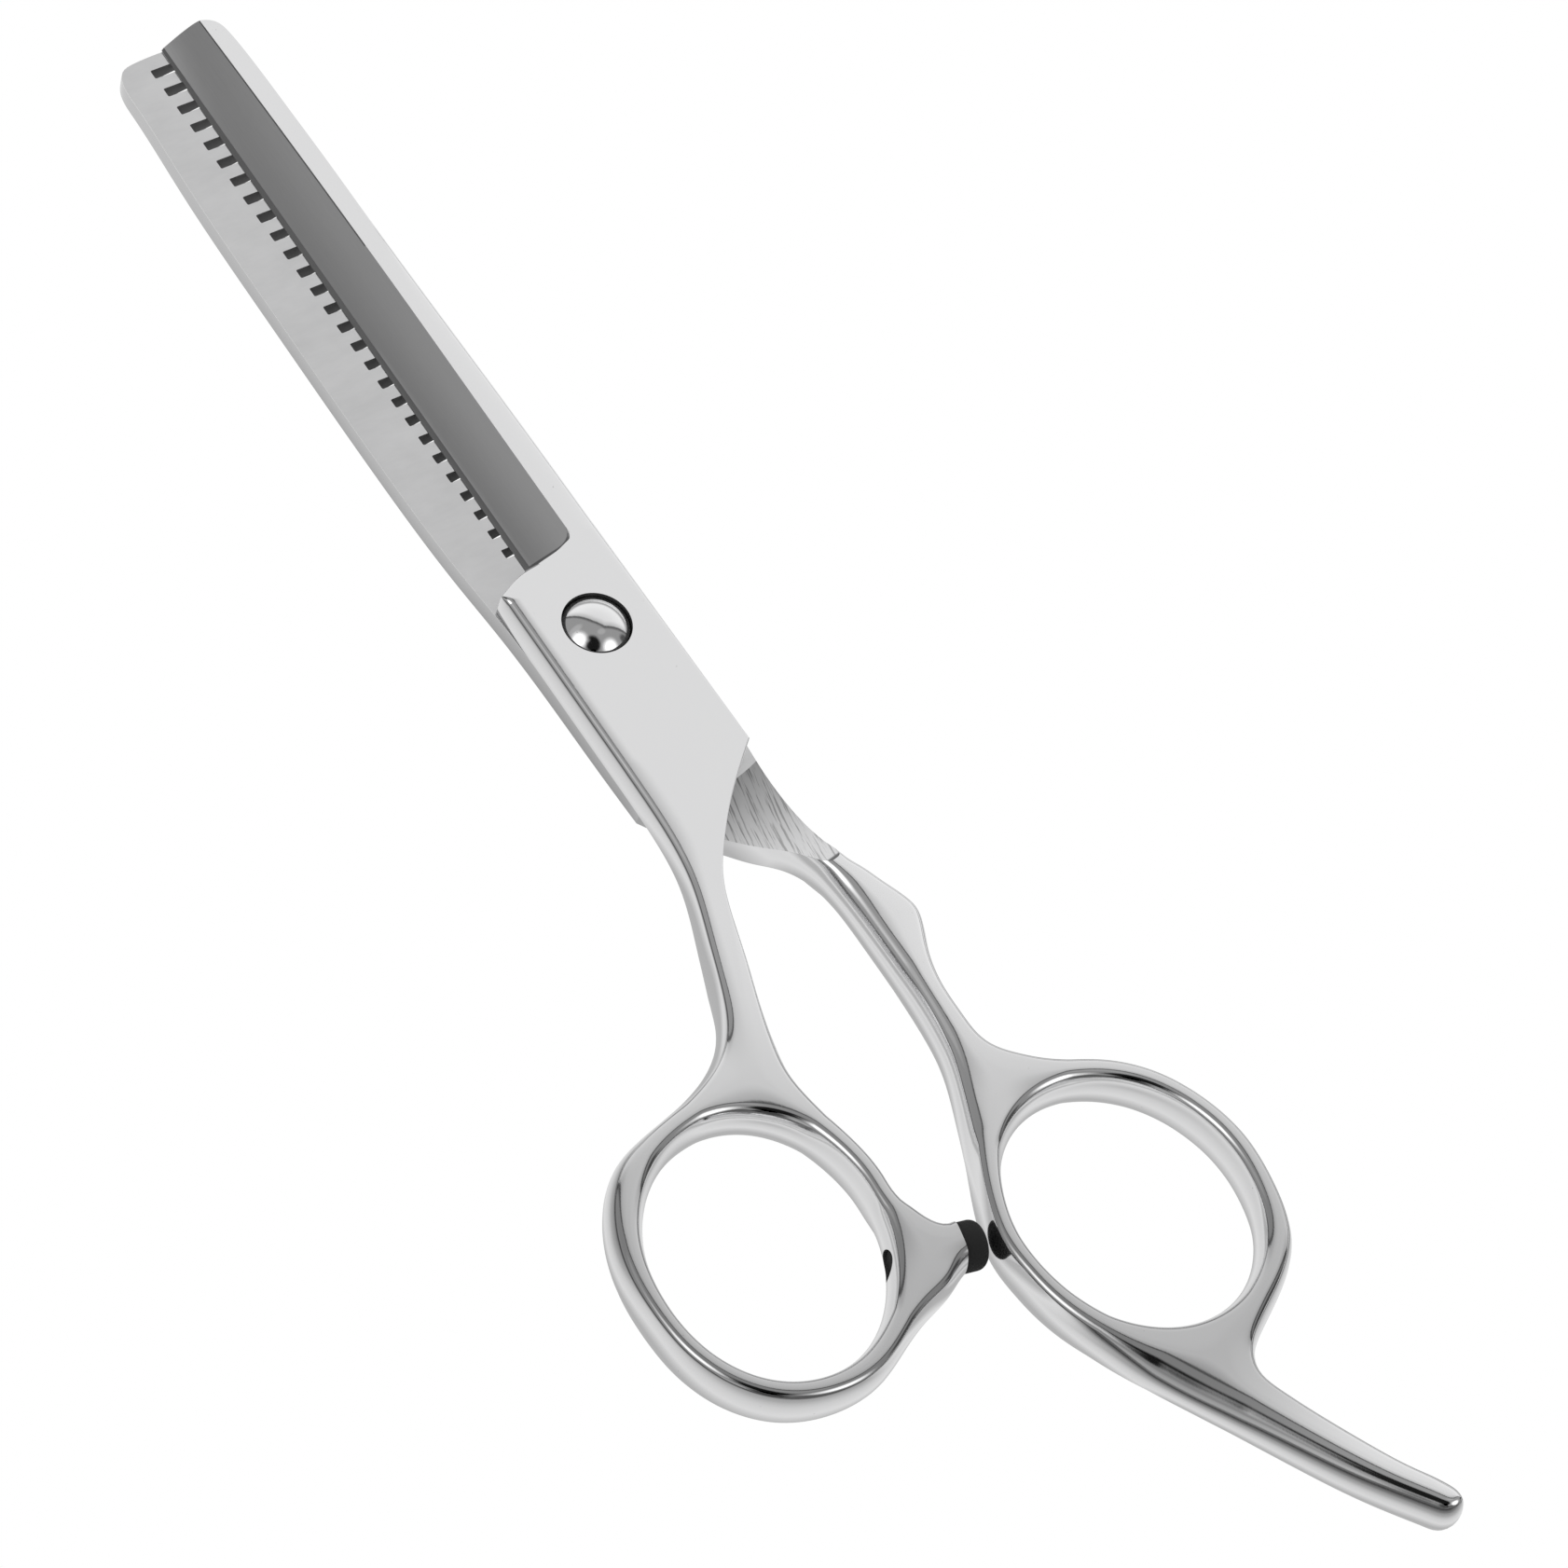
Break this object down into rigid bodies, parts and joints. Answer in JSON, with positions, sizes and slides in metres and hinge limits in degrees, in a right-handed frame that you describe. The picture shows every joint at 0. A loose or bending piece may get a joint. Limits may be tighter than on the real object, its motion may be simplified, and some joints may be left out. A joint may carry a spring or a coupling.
{
  "type": "thinning shears",
  "caption": "Thinning shears with a plain blade over a toothed comb blade, offset finger rings, a finger rest, a bumper and an adjustable pivot.",
  "frame": {"origin": "centre of the pivot screw's flat end, flush with the tension nut's outer face", "axes": "+Y from the pivot to the blade tips, +X towards the ring with the finger rest, +Z out of the screw's domed head"},
  "size_m": [0.0548, 0.1754, 0.0081],
  "materials": {
    "thumb_steel": "mirror polished stainless steel with a satin hollow-ground bevel",
    "comb_steel": "mirror polished stainless steel with satin teeth and ride face",
    "screw_steel": "mirror polished",
    "nut_steel": "satin",
    "spring_steel": "satin",
    "washer_nylon": "matt",
    "bush_nylon": "matt",
    "bumper_rubber": "matt black"
  },
  "bodies": {
    "comb_side": {"comb_half": "comb_steel", "pivot_screw": "screw_steel", "spring_washer": "spring_steel"},
    "thumb_side": {"thumb_half": "thumb_steel", "head_washer": "washer_nylon", "pivot_bush": "bush_nylon", "rubber_bumper": "bumper_rubber"},
    "nut": {"tension_nut": "nut_steel"}
  },
  "joints": [
    {"name": "blades", "type": "hinge", "parent": "comb_side", "child": "thumb_side", "pos_m": [0, 0, 0.005], "axis": [0, 0, -1], "range_deg": [0, 90]},
    {"name": "tension", "type": "hinge", "parent": "comb_side", "child": "nut", "pos_m": [0, 0, 0.00075], "axis": [0, 0, 1], "range_deg": [0, 90]}
  ]
}
